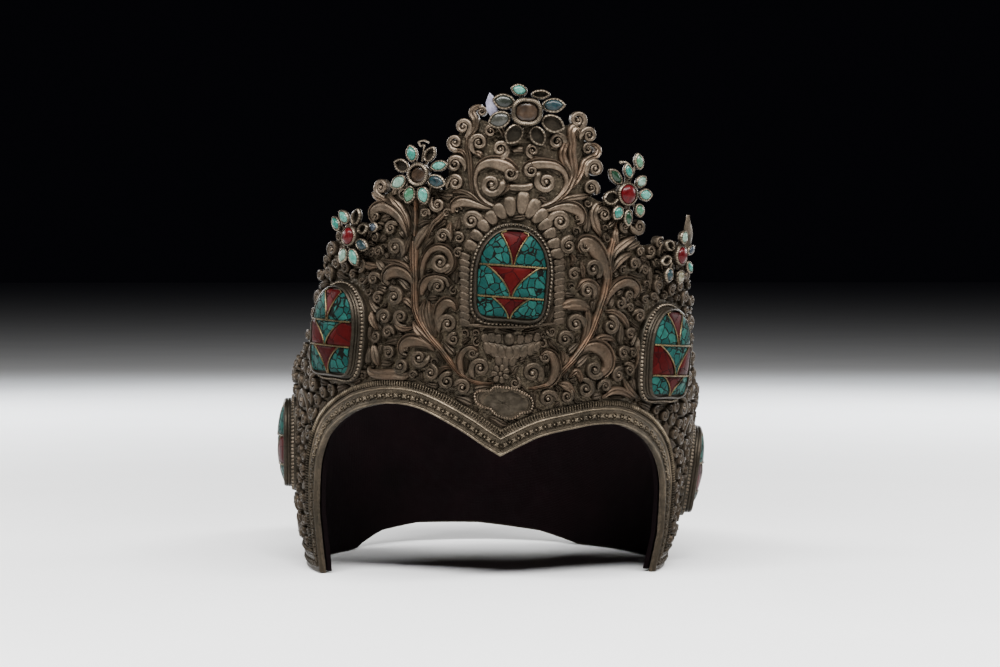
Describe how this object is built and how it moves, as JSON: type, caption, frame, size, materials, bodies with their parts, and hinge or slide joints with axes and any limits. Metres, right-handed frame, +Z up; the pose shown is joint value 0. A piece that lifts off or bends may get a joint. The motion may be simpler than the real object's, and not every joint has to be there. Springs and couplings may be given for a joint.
{
  "type": "ceremonial crown",
  "caption": "Oval ceremonial crown of raised scrollwork metal with a stepped front, stone mosaics, stone-set flowers, an arched brow rim and a dark cloth lining.",
  "frame": {"origin": "middle of the bounding box on the floor the crown stands on", "axes": "+Z up, the front mosaic and brow cusp face -Y, +X is the right side as seen from the front"},
  "size_m": [0.2094, 0.2068, 0.2285],
  "materials": {
    "silvered_metal": "tarnished silvering over copper, worn bright on the high relief",
    "cloth": "dark maroon felted cloth",
    "turquoise": "polished stone with dark crackle",
    "coral": "polished red coral",
    "crystal": "clear stone over dark metal"
  },
  "bodies": {
    "root": {"brow_rim": "silvered_metal", "cartouche": "silvered_metal", "crown_shell": "silvered_metal", "front_lower_centre": "coral", "front_lower_left_stone": "turquoise", "front_lower_right_stone": "turquoise", "front_middle_centre": "coral", "front_middle_left_stone": "turquoise", "front_middle_right_stone": "turquoise", "front_setting": "silvered_metal", "front_upper_centre": "coral", "front_upper_left_stone": "turquoise", "front_upper_right_stone": "turquoise", "left_inner_flower": "silvered_metal", "left_inner_flower_stone": "crystal", "left_lower_centre": "coral", "left_lower_left_stone": "turquoise", "left_lower_right_stone": "turquoise", "left_middle_centre": "turquoise", "left_middle_left_stone": "coral", "left_middle_right_stone": "coral", "left_outer_flower": "silvered_metal", "left_outer_flower_stone": "coral", "left_setting": "silvered_metal", "left_side_medallion": "silvered_metal", "left_upper_centre": "coral", "left_upper_left_stone": "turquoise", "left_upper_right_stone": "turquoise", "lining": "cloth", "right_inner_flower": "silvered_metal", "right_inner_flower_stone": "coral", "right_lower_centre": "coral", "right_lower_left_stone": "turquoise", "right_lower_right_stone": "turquoise", "right_middle_centre": "turquoise", "right_middle_left_stone": "coral", "right_middle_right_stone": "coral", "right_outer_flower": "silvered_metal", "right_outer_flower_stone": "coral", "right_setting": "silvered_metal", "right_side_medallion": "silvered_metal", "right_upper_centre": "coral", "right_upper_left_stone": "turquoise", "right_upper_right_stone": "turquoise", "top_flower": "silvered_metal", "top_flower_stone": "crystal"}
  },
  "joints": []
}
